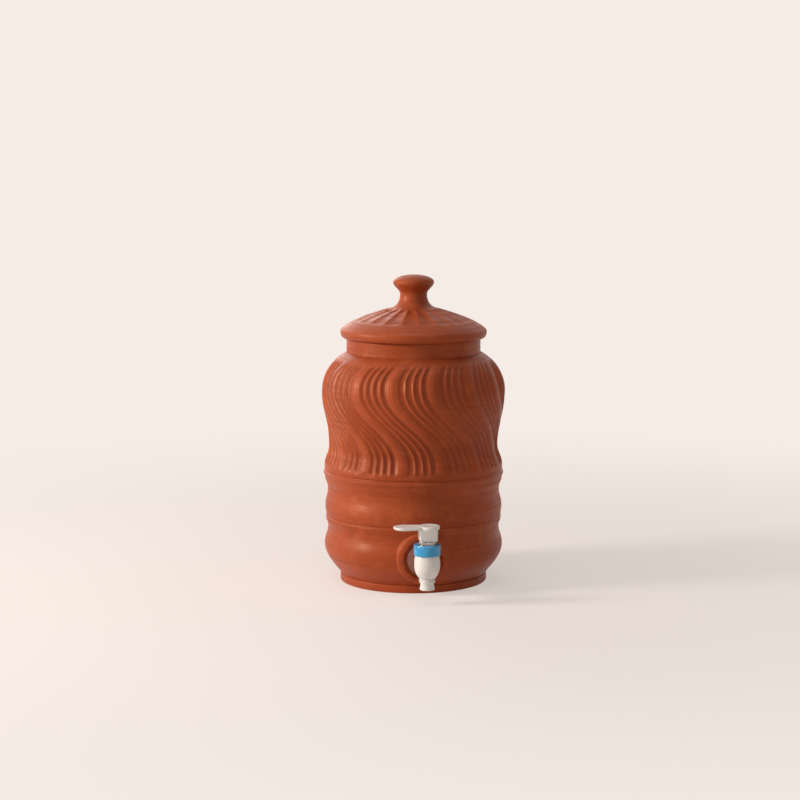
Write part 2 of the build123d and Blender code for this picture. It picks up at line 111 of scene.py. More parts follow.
class Slot(Enum):
    """The record's material slots."""

    CLAY = "clay"
    WHITE = "tap_white"
    BLUE = "collar_blue"
    STEEL = "steel"
    WASHER = "washer"
    SEAL = "seal"


class Row(IntEnum):
    """What a row of a turned outline is: left plain, an outer face that is cut or carved, or the inside."""

    INSIDE = -1
    PLAIN = 0
    FACE = 1


def srgb(red: int, green: int, blue: int) -> Colour:
    """A linear colour from screen values of 0 to 255."""
    return *Color((red / 255, green / 255, blue / 255)).from_srgb_to_scene_linear(), 1.0


def smooth(share: float) -> float:
    """Eases a share from 0 to 1, held at its ends."""
    held = min(1.0, max(0.0, share))
    return held * held * held * (held * (held * 6 - 15) + 10)


def mixed(low: float, high: float, share: float) -> float:
    """The value at a share of the way from low to high."""
    return low + (high - low) * share


def bowed(start: Point, end: Point, shares: Shares, count: int) -> list[Point]:
    """Points along a free curve.

    Args:
        start: First point, as radius and height.
        end: Last point.
        shares: The two handles, as shares of the span from start to end.
        count: How many points to give.

    Returns:
        The points in order, both ends among them.
    """
    span = (end[0] - start[0], end[1] - start[1])
    handles = [(start[0] + span[0] * r, start[1] + span[1] * z) for r, z in shares]
    knots = [Vector((x, y, 0.0)) for x, y in (start, *handles, end)]
    return [(point.x, point.y) for point in interpolate_bezier(*knots, count)]


def rounded(corner: Point, before: Point, after: Point, radius: float, count: int = 4) -> list[Point]:
    """Points that round a corner of an outline.

    Args:
        corner: The sharp corner.
        before: A point of the outline before it.
        after: A point of the outline after it.
        radius: How far from the corner the rounding starts and ends.
        count: How many points to give.

    Returns:
        The rounded corner's points in order.
    """
    here = Vector(corner)
    start = here + (Vector(before) - here).normalized() * radius
    end = here + (Vector(after) - here).normalized() * radius
    points = []
    for step in range(count):
        share = step / (count - 1)
        place = start * (1 - share) ** 2 + here * 2 * share * (1 - share) + end * share ** 2
        points.append((place.x, place.y))
    return points


def softened(corners: Sequence[Triple]) -> list[Point]:
    """An outline with its corners rounded.

    Args:
        corners: Each corner as radius, height and rounding; a rounding of 0 keeps it sharp.

    Returns:
        The outline's points in order.
    """
    points: list[Point] = []
    for index, (x, y, radius) in enumerate(corners):
        if radius == 0:
            points.append((x, y))
            continue
        after = corners[(index + 1) % len(corners)]
        points += rounded((x, y), corners[index - 1][:2], after[:2], radius)
    return points


def at_tap(across: float = 0.0) -> Matrix:
    """The place of a shape turned about the tap's upright axis, or about one set across from it."""
    return Matrix.Translation((across, -TAP_REACH, 0.0))


def along_shank() -> Matrix:
    """The place of a shape turned about the shank, with its heights measured out from the pot's axis."""
    return Matrix.Translation((0.0, 0.0, TAP_HEIGHT)) @ Matrix.Rotation(math.pi / 2, 4, "X")


class Workpiece:
    """A mesh being shaped, in millimetres, and handed over to the scene in metres."""

    def __init__(self) -> None:
        """Starts an empty mesh whose vertices carry their row's tag and a share of painted shade from how
        deep they lie in a gouge, below zero for a painted highlight.
        """
        self.bm = bmesh.new()
        self.tag = self.bm.verts.layers.float.new("tag")
        self.hollow = self.bm.verts.layers.float.new("hollow")

    def turn(self, outline: Sequence[Point], steps: int, closed: bool = False,
             tags: Sequence[Row] = (), sectors: int = 8) -> list[Vert]:
        """Spins an outline through one sector about the upright axis, and repeats that to a full turn.

        Args:
            outline: Points as radius and height.
            steps: Faces round the turn, a multiple of its sectors.
            closed: Whether the last point joins the first.
            tags: A tag for each point, kept by every vertex that is spun from it.
            sectors: How many sectors make the turn.

        Returns:
            The vertices of the turned shape.
        """
        earlier = set(self.bm.verts)
        row = [self.bm.verts.new((radius, 0.0, height)) for radius, height in outline]
        for vert, value in zip(row, tags):
            vert[self.tag] = value
        pairs = list(zip(row[:-1], row[1:]))
        if closed:
            pairs.append((row[-1], row[0]))
        edges = [self.bm.edges.new(pair) for pair in pairs]
        part = math.tau / sectors
        bmesh.ops.spin(self.bm, geom=row + edges, cent=(0, 0, 0), axis=(0, 0, 1), dvec=(0, 0, 0),
                       angle=part, steps=steps // sectors, use_merge=False, use_duplicate=False)
        wedge = [vert for vert in self.bm.verts if vert not in earlier]
        faces = list(dict.fromkeys(face for vert in wedge for face in vert.link_faces))
        for turn in range(1, sectors):
            copy = bmesh.ops.duplicate(self.bm, geom=faces)["geom"]
            moved = [item for item in copy if isinstance(item, Vert)]
            bmesh.ops.rotate(self.bm, verts=moved, cent=(0, 0, 0),
                             matrix=Matrix.Rotation(turn * part, 3, "Z"))
        made = [vert for vert in self.bm.verts if vert not in earlier]
        bmesh.ops.remove_doubles(self.bm, verts=made, dist=MERGE)
        return [vert for vert in self.bm.verts if vert not in earlier]

    def place(self, verts: list[Vert], matrix: Matrix) -> None:
        """Moves some vertices by a matrix."""
        bmesh.ops.transform(self.bm, matrix=matrix, verts=verts)

    def turn_at(self, outline: Sequence[Point], matrix: Matrix) -> None:
        """Turns a closed outline of the tap and moves it into its place."""
        self.place(self.turn(outline, TAP_STEPS, closed=True), matrix)

    def grow(self, edges: list[Edge], move: Callable[[Vector], Vector]) -> list[Edge]:
        """Extrudes a loop of edges and moves the new loop.

        Args:
            edges: The loop to extrude.
            move: Gives a new place for each new vertex from its old one.

        Returns:
            The new loop's edges.
        """
        made = bmesh.ops.extrude_edge_only(self.bm, edges=edges)["geom"]
        fresh = {item for item in made if isinstance(item, Vert)}
        for vert in fresh:
            vert.co = move(vert.co)
        return [item for item in made if isinstance(item, Edge) and fresh.issuperset(item.verts)]

    def bevel(self, edges: list[Edge], width: float) -> None:
        """Rounds some edges over a width."""
        bmesh.ops.bevel(self.bm, geom=edges, offset=width, offset_type="OFFSET", segments=BEVEL_STEPS,
                        profile=ROUND_PROFILE, affect="EDGES", material=-1, clamp_overlap=True)

    def hand_over(self, name: str, body: Body, slot: Slot, node: str,
                  crease: float = CREASE) -> bpy.types.Object:
        """Makes the mesh an object of the scene.

        Args:
            name: The piece's name.
            body: The body that it rides on.
            slot: The record's slot for its finish.
            node: The CAD node that it stands for.
            crease: Edges sharper than this many degrees stay sharp.

        Returns:
            The new object.
        """
        bmesh.ops.recalc_face_normals(self.bm, faces=self.bm.faces[:])
        bmesh.ops.scale(self.bm, vec=(MM, MM, MM), verts=self.bm.verts[:])
        mesh = bpy.data.meshes.new(name)
        self.bm.to_mesh(mesh)
        self.bm.free()
        mesh.polygons.foreach_set("use_smooth", [True] * len(mesh.polygons))
        mesh.set_sharp_from_angle(angle=math.radians(crease))
        mesh.materials.append(FINISHES[slot].material)
        piece = bpy.data.objects.new(name, mesh)
        bpy.context.scene.collection.objects.link(piece)
        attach(piece, body.value)
        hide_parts(node)
        LOG.info("%s: %d faces on %s", name, len(mesh.polygons), body.value)
        return piece


class Board:
    """The nodes of a material or of the world, with short calls that add and join them."""

    SPECK_CORE = 0.5
    CHOICE_EDGE = 0.02

    def __init__(self, holder: bpy.types.Material | bpy.types.World) -> None:
        """Starts on the nodes that the material or world has."""
        holder.use_nodes = True
        self.tree = holder.node_tree

    @cached_property
    def coords(self) -> Socket:
        """Object coordinates, in metres."""
        return self.add("TexCoord", {}).outputs["Object"]

    def add(self, kind: str, inputs: Inputs, **choices: str) -> bpy.types.Node:
        """Adds a node.

        Args:
            kind: The node's type, without the prefix that all shader nodes have.
            inputs: What goes into its inputs, by their names or numbers.
            choices: The node's own settings.

        Returns:
            The node.
        """
        node = self.tree.nodes.new("ShaderNode" + kind)
        for name, choice in choices.items():
            setattr(node, name, choice)
        self.fill(node, inputs)
        return node

    def fill(self, node: bpy.types.Node, inputs: Inputs) -> None:
        """Links sockets to a node's inputs and sets plain values on them.

        Args:
            node: The node.
            inputs: What goes into its inputs, by their names or numbers.
        """
        for name, value in inputs.items():
            if isinstance(value, Socket):
                self.tree.links.new(value, node.inputs[name])
            else:
                node.inputs[name].default_value = value

    def dress(self, inputs: Inputs) -> None:
        """Fills inputs of the material's shader."""
        self.fill(self.tree.nodes["Principled BSDF"], inputs)

    def stretched(self, scale: Triple) -> Socket:
        """Object coordinates stretched along each axis."""
        return self.add("Mapping", {"Vector": self.coords, "Scale": scale}).outputs["Vector"]

    def noise(self, scale: float, detail: float, rough: float = 0.55,
              coords: Socket | None = None) -> Socket:
        """Soft noise of a scale, per metre, with some octaves of detail."""
        inputs = {"Vector": coords or self.coords, "Scale": scale, "Detail": detail, "Roughness": rough}
        return self.add("TexNoise", inputs).outputs["Fac"]

    def specks(self, scale: float, size: float, rarity: float) -> Socket:
        """Scattered round specks.

        Args:
            scale: Cells per metre.
            size: A speck's radius, as a share of its cell.
            rarity: The share of cells that stay bare.

        Returns:
            A socket that is 1 in a speck and 0 elsewhere.
        """
        cells = self.add("TexVoronoi", {"Vector": self.coords, "Scale": scale})
        dot = self.ranged(cells.outputs["Distance"], size, size * self.SPECK_CORE)
        split = self.add("SeparateColor", {"Color": cells.outputs["Color"]})
        chosen = self.ranged(split.outputs["Red"], rarity, rarity + self.CHOICE_EDGE)
        return self.math("MULTIPLY", dot, chosen)

    def ranged(self, source: Socket, low: float, high: float, to_low: float = 0.0,
               to_high: float = 1.0) -> Socket:
        """Maps a span of a value onto another, eased and held at its ends."""
        inputs = {"Value": source, "From Min": low, "From Max": high, "To Min": to_low, "To Max": to_high}
        return self.add("MapRange", inputs, interpolation_type="SMOOTHSTEP").outputs["Result"]

    def math(self, operation: str, first: Socket, second: Socket | float) -> Socket:
        """Joins two values by an operation."""
        return self.add("Math", {0: first, 1: second}, operation=operation).outputs["Value"]

    def painted(self, base: Colour, layers: Sequence[tuple[Socket, Colour, float]]) -> Socket:
        """Lays colours over a base.

        Args:
            base: The colour below.
            layers: For each layer where it shows, its colour, and how much of it shows there.

        Returns:
            The mixed colour.
        """
        colour: Socket | Colour = base
        for share, over, most in layers:
            inputs = {"Factor": self.math("MULTIPLY", share, most), "A": colour, "B": over}
            colour = self.add("Mix", inputs, data_type="RGBA").outputs["Result"]
        return colour

    def bumped(self, bumps: Sequence[tuple[Socket, float, float]]) -> Socket:
        """Bumps the surface by several heights, one over another.

        Args:
            bumps: Each height with its strength and its depth in metres.

        Returns:
            The bumped normal.
        """
        normal = None
        for height, strength, depth in bumps:
            inputs = {"Height": height, "Strength": strength, "Distance": depth}
            if normal is not None:
                inputs["Normal"] = normal
            normal = self.add("Bump", inputs).outputs["Normal"]
        return normal

    def attribute(self, name: str) -> Socket:
        """A value that the mesh carries at its vertices."""
        return self.add("Attribute", {}, attribute_name=name).outputs["Fac"]

    def beheld(self) -> Socket:
        """Finds where a surface is seen and not lit by.

        Returns:
            A share that is 1 for the eye, a gloss or a clear piece, and 0 where light falls.
        """
        path = self.add("LightPath", {})
        share = path.outputs["Is Camera Ray"]
        for name in ("Is Glossy Ray", "Is Transmission Ray"):
            share = self.math("MAXIMUM", share, path.outputs[name])
        return share

    def show(self, output: str, share: Socket, lit: Socket, seen: Socket) -> None:
        """Joins two shaders to an output node, with a share of the second."""
        mix = self.add("MixShader", {0: share, 1: lit, 2: seen})
        self.fill(self.tree.nodes[output], {"Surface": mix.outputs["Shader"]})


@dataclass(frozen=True)
class Finish:
    """A named finish, whose material is built when it is first used."""

    name: str

    @cached_property
    def material(self) -> bpy.types.Material:
        """The finish's material."""
        material = bpy.data.materials.new(self.name)
        self.paint(Board(material))
        return material

    def paint(self, board: Board) -> None:
        """Joins the finish's nodes on a material's board."""
        raise NotImplementedError


@dataclass(frozen=True)
class Terracotta(Finish):
    """Fired red clay, rubbed to a satin: mottled, streaked by turning, specked with grit."""

    body: Colour = srgb(160, 70, 37)
    deep: Colour = srgb(124, 49, 24)
    # A dusty tone laid in random clouds, which also paints the highlight on the gouges' crests and the
    # petals' ridges.
    dusty_and_highlight: Colour = srgb(190, 100, 58)
    grit: Colour = srgb(226, 168, 132)
    pit: Colour = srgb(84, 34, 22)
    # Painted shade, laid deep in the gouges and the lid's petals.
    hollow: Colour = srgb(98, 35, 18)
    sheen: Colour = srgb(255, 204, 168)

    def paint(self, board: Board) -> None:
        """Mottles and streaks the clay, paints shade into its gouges and petals and a highlight onto their
        crests and ridges, and adds grit and pits.

        Args:
            board: The material's nodes.
        """
        mottle = board.noise(14.0, 4.0)
        cloud = board.noise(70.0, 5.0)
        streak = board.noise(1.0, 4.0, 0.6, board.stretched((9.0, 9.0, 520.0)))
        grain = board.noise(820.0, 3.0)
        grit = board.specks(400.0, 0.2, 0.9)
        pits = board.specks(330.0, 0.16, 0.93)
        cut = board.attribute("hollow")
        layers = (
            (board.ranged(mottle, 0.42, 0.66), self.deep, 0.34),
            (board.ranged(cloud, 0.48, 0.72), self.dusty_and_highlight, 0.28),
            (board.ranged(streak, 0.5, 0.7), self.deep, 0.3),
            # Painted shade in the gouges and petals, then a painted highlight on their crests and ridges.
            (board.ranged(cut, 0.1, 1.0), self.hollow, 0.36),
            (board.ranged(cut, -0.1, -0.9), self.dusty_and_highlight, 0.3),
            (grit, self.grit, 0.42),
            (pits, self.pit, 0.75),
        )
        bumps = (
            (streak, 0.4, 0.0006),
            (cloud, 0.18, 0.0008),
            (grain, 0.3, 0.0003),
            (board.math("SUBTRACT", grit, pits), 0.25, 0.0003),
        )
        board.dress({
            "Base Color": board.painted(self.body, layers),
            "Roughness": board.ranged(board.math("ADD", cloud, streak), 0.75, 1.25, 0.36, 0.54),
            "Specular IOR Level": 0.34,
            "Specular Tint": self.sheen,
            "Normal": board.bumped(bumps),
        })


@dataclass(frozen=True)
class Moulding(Finish):
    """Glossy moulded plastic, with a faint cloud in its colour and a skin that isn't quite flat."""

    body: Colour
    worn: Colour
    rough: float = 0.27

    def paint(self, board: Board) -> None:
        """Clouds the colour, scuffs the gloss and ripples the skin.

        Args:
            board: The material's nodes.
        """
        cloud = board.noise(130.0, 4.0)
        scuff = board.noise(900.0, 3.0, 0.65)
        board.dress({
            "Base Color": board.painted(self.body, [(board.ranged(cloud, 0.42, 0.7), self.worn, 0.5)]),
            "Roughness": board.ranged(scuff, 0.35, 0.7, self.rough, self.rough + 0.14),
            "Subsurface Weight": 0.06,
            "Subsurface Scale": 0.002,
            "Coat Weight": 0.12,
            "Coat Roughness": 0.18,
            "Normal": board.bumped([(cloud, 0.08, 0.0006), (scuff, 0.05, 0.0002)]),
        })


@dataclass(frozen=True)
class PressedSteel(Finish):
    """Bright pressed steel, brushed round its turn."""

    body: Colour = srgb(166, 161, 155)
    dull: Colour = srgb(112, 107, 101)

    def paint(self, board: Board) -> None:
        """Smears the steel and brushes it.

        Args:
            board: The material's nodes.
        """
        brush = board.noise(1.0, 5.0, 0.6, board.stretched((60.0, 60.0, 4200.0)))
        smear = board.noise(260.0, 3.0)
        board.dress({
            "Base Color": board.painted(self.body, [(board.ranged(smear, 0.45, 0.7), self.dull, 0.55)]),
            "Roughness": board.ranged(brush, 0.3, 0.7, 0.2, 0.36),
            "Metallic": 1.0,
            "Anisotropic": 0.4,
            "Normal": board.bumped([(brush, 0.12, 0.0001)]),
        })


@dataclass(frozen=True)
class Rubber(Finish):
    """Matt moulded rubber with a fine bloom."""

    body: Colour
    bloom: Colour

    def paint(self, board: Board) -> None:
        """Lays the bloom and roughens the skin.

        Args:
            board: The material's nodes.
        """
        bloom = board.noise(240.0, 4.0)
        skin = board.noise(2600.0, 2.0)
        board.dress({
            "Base Color": board.painted(self.body, [(board.ranged(bloom, 0.42, 0.68), self.bloom, 0.6)]),
            "Roughness": board.ranged(bloom, 0.3, 0.7, 0.5, 0.68),
            "Normal": board.bumped([(skin, 0.2, 0.0001)]),
        })


FINISHES: dict[Slot, Finish] = {
    Slot.CLAY: Terracotta("terracotta"),
    Slot.WHITE: Moulding("white_moulding", srgb(230, 227, 223), srgb(221, 216, 211)),
    Slot.BLUE: Moulding("blue_moulding", srgb(44, 152, 206), srgb(86, 178, 222), 0.22),
    Slot.STEEL: PressedSteel("pressed_steel"),
    Slot.WASHER: Rubber("washer_rubber", srgb(142, 92, 82), srgb(160, 112, 102)),
    Slot.SEAL: Rubber("seal_rubber", srgb(226, 222, 212), srgb(214, 208, 196)),
}


@dataclass
class WaveCarving:
    """Bunches of gouges combed down the shoulder, with a smooth lobe between one bunch and the next.

    Each swell makes the carving bolder: by how much, how far down, and over what share of the height. Each
    bunch has its own firmness at the top and at the foot.
    """

    bunches: int = 14
    gouges: int = 4
    gouge_columns: int = 8
    lobe_columns: int = 10
    top: float = 247.0
    bottom: float = 128.5
    depth: float = 1.7
    lobe: float = 0.55
    first: float = math.radians(-16.3)
    top_lean: float = math.radians(7.5)
    swing: float = math.radians(32.0)
    swing_rate: float = 1.06
    knee: float = 0.18
    run_in: float = 0.07
    run_out: float = 0.035
    plain: float = 0.72
    swells: Corners = ((0.3, 0.2, 0.17), (0.28, 0.85, 0.16))
    roundness: float = 0.92
    # How strongly the crests are lightened with a painted highlight.
    crest_highlight: float = 0.7
    firmness: Line = (
        (0.85, 0.76), (0.78, 0.8), (0.86, 0.95), (1.05, 0.9), (0.9, 1.15), (1.2, 0.88), (0.84, 1.1),
        (0.95, 0.9), (1.22, 0.85), (0.88, 1.12), (1.02, 0.9), (0.88, 1.05), (0.84, 1.3), (1.36, 0.8))

    @property
    def columns(self) -> int:
        """Columns of faces round the pot, so that every crest runs along one."""
        return self.bunches * (self.gouges * self.gouge_columns + self.lobe_columns)

    @property
    def comb_share(self) -> float:
        """The share of each bunch that is gouged."""
        return self.gouges * self.gouge_columns * self.bunches / self.columns

    def share(self, height: float) -> float:
        """How far down the carving a height lies, from 0 to 1."""
        return min(1.0, max(0.0, (self.top - height) / (self.top - self.bottom)))

    def lean(self, share: float) -> float:
        """The angle that a gouge has swayed, at a share of the way down."""
        above = self.top_lean * max(0.0, 1 - share / self.knee) ** 2
        return above + self.swing * smooth((share - self.knee) / (1 - self.knee) * self.swing_rate)

    def boldness(self, share: float) -> float:
        """How boldly gouges are cut at a share of the way down, before a bunch's own firmness."""
        swells = sum(more * math.exp(-((share - place) / width) ** 2) for more, place, width in self.swells)
        return smooth(share / self.run_in) * smooth((1 - share) / self.run_out) * (self.plain + swells)

    def relief(self, angle: float, height: float) -> Point:
        """The carving at one place.

        Args:
            angle: Angle round the pot, from the tap towards +X.
            height: Height above the foot.

        Returns:
            How far the wall stands out there, and a share of painted shade that grows with how deep in a
            gouge it is, below zero for a painted highlight on the crests.
        """
        share = self.share(height)
        turn = (angle - self.lean(share) - self.first) / (math.tau / self.bunches)
        bunch = math.floor(turn)
        across = turn - bunch
        firm = mixed(*self.firmness[bunch % self.bunches], smooth(share))
        bold = firm * self.boldness(share)
        if across < self.comb_share:
            step = across / self.comb_share * self.gouges
            scoop = math.sin(math.pi * (step - math.floor(step))) ** (self.roundness * firm)
            # The second value is painted shade deep in the gouges and, below zero, a painted highlight on
            # the crests.
            return -self.depth * bold * scoop, bold * (scoop - self.crest_highlight * (1 - scoop) ** 2)
        crest = math.sin(math.pi * (across - self.comb_share) / (1 - self.comb_share)) ** 2
        return self.lobe * bold * crest, 0.0

    def carve(self, piece: Workpiece, band: list[Vert]) -> None:
        """Twists a band's columns along the waves and presses the gouges in.

        Args:
            piece: The pot's mesh.
            band: The band's vertices.
        """
        for vert in band:
            turn = self.first - math.pi / 2 + self.lean(self.share(vert.co.z))
            vert.co.rotate(Matrix.Rotation(turn, 3, "Z"))
            stand, vert[piece.hollow] = self.relief(math.atan2(vert.co.x, -vert.co.y), vert.co.z)
            radius = math.hypot(vert.co.x, vert.co.y)
            vert.co.x *= 1 + stand / radius
            vert.co.y *= 1 + stand / radius


def front_of(radius: Radius) -> Depth:
    """The front face of a wall about the pot's axis, from its radius at each height."""
    return lambda x, z: -math.sqrt(radius(z) ** 2 - x * x)


def between(low: Depth, high: Depth, share: float) -> Depth:
    """A face at a share of the way from one face to another."""
    return lambda x, z: mixed(low(x, z), high(x, z), share)


@dataclass
class TapSeat:
    """The raised ring on the wall that the tap's washer sits in, and the shank's hole through it.

    Each row is a radius from the shank's axis and a share of the way up to the ring's crown.
    """

    root: float = 28.6
    hole: float = 8.2
    seat: float = 95.5
    pad: float = 84.1
    pad_radius: float = 17.0
    pad_step: float = 2.0
    pad_margin: float = 0.6
    crown_radius: float = 101.5
    crown_top: float = 97.6
    crown_low: float = 95.5
    crown_half: float = 27.4
    ring_rows: Line = (
        (27.9, 0.05), (27.5, 0.2), (27.4, 0.45), (27.3, 0.75), (26.9, 0.93), (26.0, 1.0), (24.2, 1.0),
        (22.2, 1.0))
    recess_rows: Line = ((21.4, 0.96), (20.9, 0.75), (20.8, 0.3), (20.6, 0.07), (20.0, 0.0), (17.4, 0.0))

    def crown(self, height: float) -> float:
        """How far the ring's crown stands from the pot's axis, at a height above the foot."""
        end = self.crown_top if height > TAP_HEIGHT else self.crown_low
        return mixed(self.crown_radius, end, ((height - TAP_HEIGHT) / self.crown_half) ** 2)

    def spread(self, vert: Vert) -> float:
        """How far a vertex lies from the shank's axis."""
        return math.hypot(vert.co.x, vert.co.z - TAP_HEIGHT)

    def on_ring(self, place: Vector, radius: float, face: Depth) -> Vector:
        """Moves a place onto a ring round the shank's axis, at its own angle.

        Args:
            place: The place.
            radius: The ring's radius.
            face: The face that the ring lies on.

        Returns:
            The new place.
        """
        turn = math.atan2(place.z - TAP_HEIGHT, place.x)
        x = radius * math.cos(turn)
        z = TAP_HEIGHT + radius * math.sin(turn)
        return Vector((x, face(x, z), z))

    def opened(self, piece: Workpiece, verts: list[Vert], radius: float, wall: Depth) -> list[Edge]:
        """Opens a round hole in a wall.

        Args:
            piece: The pot's mesh.
            verts: The vertices to delete.
            radius: The hole's radius.
            wall: The wall's face.

        Returns:
            The edges round the hole.
        """
        gone = set(verts)
        ring = dict.fromkeys(edge for vert in verts for face in vert.link_faces for edge in face.edges)
        rest = [edge for edge in ring if not gone.intersection(edge.verts)]
        bmesh.ops.delete(piece.bm, geom=verts, context="VERTS")
        edges = [edge for edge in rest if edge.is_valid and edge.is_boundary]
        for vert in {vert for edge in edges for vert in edge.verts}:
            vert.co = self.on_ring(vert.co, radius, wall)
        return edges

    def cut(self, piece: Workpiece, outer: Radius, inner: float) -> None:
        """Opens the wall round the shank and models the ring, the recess, the hole and the pad inside.

        Args:
            piece: The pot's mesh, with its rows tagged.
            outer: The wall's outer radius at a height.
            inner: The wall's inner radius at the tap.
        """
        wall, crown = front_of(outer), front_of(self.crown)
        edge = self.pad_radius + self.pad_margin
        near = [vert for vert in piece.bm.verts if vert.co.y < 0 and self.spread(vert) < self.root]
        outside = [vert for vert in near if vert[piece.tag] == Row.FACE]
        inside = [vert for vert in near if vert[piece.tag] == Row.INSIDE and self.spread(vert) < edge]
        loop = self.opened(piece, outside, self.root, wall)
        back = self.opened(piece, inside, edge, front_of(lambda z: inner))
        rings = [(radius, between(wall, crown, share)) for radius, share in self.ring_rows]
        for radius, share in (*self.recess_rows, (self.hole, 0.0)):
            rings.append((radius, between(lambda x, z: -self.seat, crown, share)))
        for radius in (self.hole, self.pad_radius - self.pad_step, self.pad_radius):
            rings.append((radius, lambda x, z: -self.pad))
        for radius, face in rings:
            loop = piece.grow(loop, lambda place, r=radius, f=face: self.on_ring(place, r, f))
        bmesh.ops.bridge_loops(piece.bm, edges=loop + back)


@dataclass
class Pot:
    """The fired pot: foot, banded lower wall, carved shoulder, neck and hollow.

    Points are radius and height, and go up the outside: two bands, each with a bulge, a hollow and a brow
    under a groove, then the waves from their foot over the waist and the belly to the neck.
    """

    waves: WaveCarving = field(default_factory=WaveCarving)
    seat: TapSeat = field(default_factory=TapSeat)
    foot: Corners = ((60.0, 0.0, 0), (80.3, 0.0, 1.3), (80.3, 8.5, 1.3), (79.1, 8.5, 0))
    low_bulge: Point = (97.5, 40.5)
    low_hollow: Point = (93.6, 61.0)
    low_brow: Point = (96.0, 70.2)
    low_groove: Line = (
        (96.15, 71.0), (95.9, 71.7), (95.4, 72.2), (94.9, 72.7), (94.75, 73.1), (95.0, 73.6), (95.5, 74.1))
    mid_start: Point = (95.9, 74.6)
    mid_bulge: Point = (96.8, 82.0)
    mid_hollow: Point = (93.8, 102.0)
    mid_brow: Point = (97.1, 116.6)
    mid_groove: Line = (
        (97.55, 117.5), (98.1, 118.4), (98.4, 119.4), (98.3, 120.4), (97.8, 121.3), (97.0, 122.0),
        (96.4, 122.7), (96.25, 123.2), (96.6, 123.8), (97.2, 124.4))
    wave_start: Point = (97.45, 125.0)
    wave_foot: Point = (97.4, 126.5)
    waist: Point = (91.9, 150.0)
    belly: Point = (99.5, 208.0)
    neck: Point = (72.9, 251.0)
    neck_rows: int = 12
    neck_step: float = 1.2
    ripple: float = 0.1
    ripple_rate: float = 1.7
    rim_round: float = 2.0
    wall: float = 6.5
    floor: Line = ((66.1, 9.0), (40.0, 9.0), (0.0, 9.0))
    steps: int = 400
    inner_steps: int = 208
    inner_rows: int = 13
    gauge: float = 0.25
    sway: Shares = ((0.0, 0.45), (1.0, 0.55))
    shoulder: Shares = ((0.6, 0.17), (1.0, 0.58))
    foot_curve: Shares = ((0.0, 0.375), (0.55, 0.67))
    inner_foot: Shares = ((0.0, 0.5), (0.35, 1.0))

    def inset(self, point: Point) -> Point:
        """A point of the outside brought in by the wall's thickness."""
        return point[0] - self.wall, point[1]

    def swayed(self, knots: Sequence[Point], counts: Sequence[int]) -> list[Point]:
        """Draws a line that sways through some points.

        Args:
            knots: The points.
            counts: How many points each stretch has, with both its ends.

        Returns:
            The line's points after the first.
        """
        line: list[Point] = []
        for start, end, count in zip(knots[:-1], knots[1:], counts):
            line += bowed(start, end, self.sway, count)[1:]
        return line

    @property
    def underside(self) -> list[Point]:
        """The underside and the foot's rounded edge, up to its crease."""
        return [(0.0, 0.0), (self.floor[1][0], 0.0)] + softened(self.foot)[:-1]

    @property
    def lower(self) -> list[Point]:
        """The outside from the foot's crease up past the upper groove."""
        line = bowed(self.low_bulge, self.foot[-1][:2], self.foot_curve, 14)[::-1]
        line += self.swayed((self.low_bulge, self.low_hollow, self.low_brow), (9, 5))
        line += [*self.low_groove, self.mid_start]
        line += self.swayed((self.mid_start, self.mid_bulge, self.mid_hollow, self.mid_brow), (5, 8, 8))
        return line + list(self.mid_groove)

    @property
    def upper(self) -> list[Point]:
        """The outside that is carved, from above the upper groove to the neck's crease."""
        line = [self.wave_start, self.wave_foot]
        line += self.swayed((self.wave_foot, self.waist, self.belly), (18, 30))
        return line + bowed(self.neck, self.belly, self.shoulder, 32)[-2::-1]

    @property
    def mouth(self) -> list[Point]:
        """The neck and the rounded rim, over to the inside."""
        radius, crease = self.neck
        inner = radius - self.wall
        heights = [crease + self.neck_step * step for step in range(1, self.neck_rows + 1)]
        line = [(radius + self.ripple * math.sin(height * self.ripple_rate), height) for height in heights]
        line += rounded((radius, RIM), (radius, 0), (0, RIM), self.rim_round, 5)[1:]
        return line + rounded((inner, RIM), (radius, RIM), (inner, 0), self.rim_round, 5)

    @property
    def inside(self) -> list[Point]:
        """The inside from the mouth down to the middle of the floor."""
        neck, belly, waist = self.inset(self.neck), self.inset(self.belly), self.inset(self.waist)
        radius, low = self.inset(self.low_hollow)
        high = self.mid_hollow[1]
        line = [(neck[0], SKIRT_FOOT)]
        line += bowed(neck, belly, self.shoulder, 9)
        line += self.swayed((belly, waist, (radius, high)), (7, 5))
        shares = [step / self.inner_rows for step in range(1, self.inner_rows + 1)]
        line += [(radius, mixed(high, low, share)) for share in shares]
        return line + bowed((radius, low), self.floor[0], self.inner_foot, 20)[1:] + list(self.floor[1:])

    def radius_at(self, line: list[Point], height: float) -> float:
        """Reads the wall's outer radius along its outline.

        Args:
            line: The outline, upwards.
            height: Height above the foot.

        Returns:
            The radius there.
        """
        level = round(height / self.gauge) * self.gauge
        for (low_r, low_z), (high_r, high_z) in zip(line[:-1], line[1:]):
            if low_z <= level <= high_z and high_z > low_z:
                return mixed(low_r, high_r, (level - low_z) / (high_z - low_z))
        return line[0][0]

    def join(self, piece: Workpiece) -> None:
        """Bridges the two open edges that lie nearest each other in height.

        Args:
            piece: The pot's mesh.
        """
        edges = [edge for edge in piece.bm.edges if edge.is_boundary]
        tops = sorted({round(edge.verts[0].co.z, 2) for edge in edges})
        pair = min(zip(tops[:-1], tops[1:]), key=lambda ends: ends[1] - ends[0])
        chosen = [edge for edge in edges if round(edge.verts[0].co.z, 2) in pair]
        bmesh.ops.bridge_loops(piece.bm, edges=chosen)

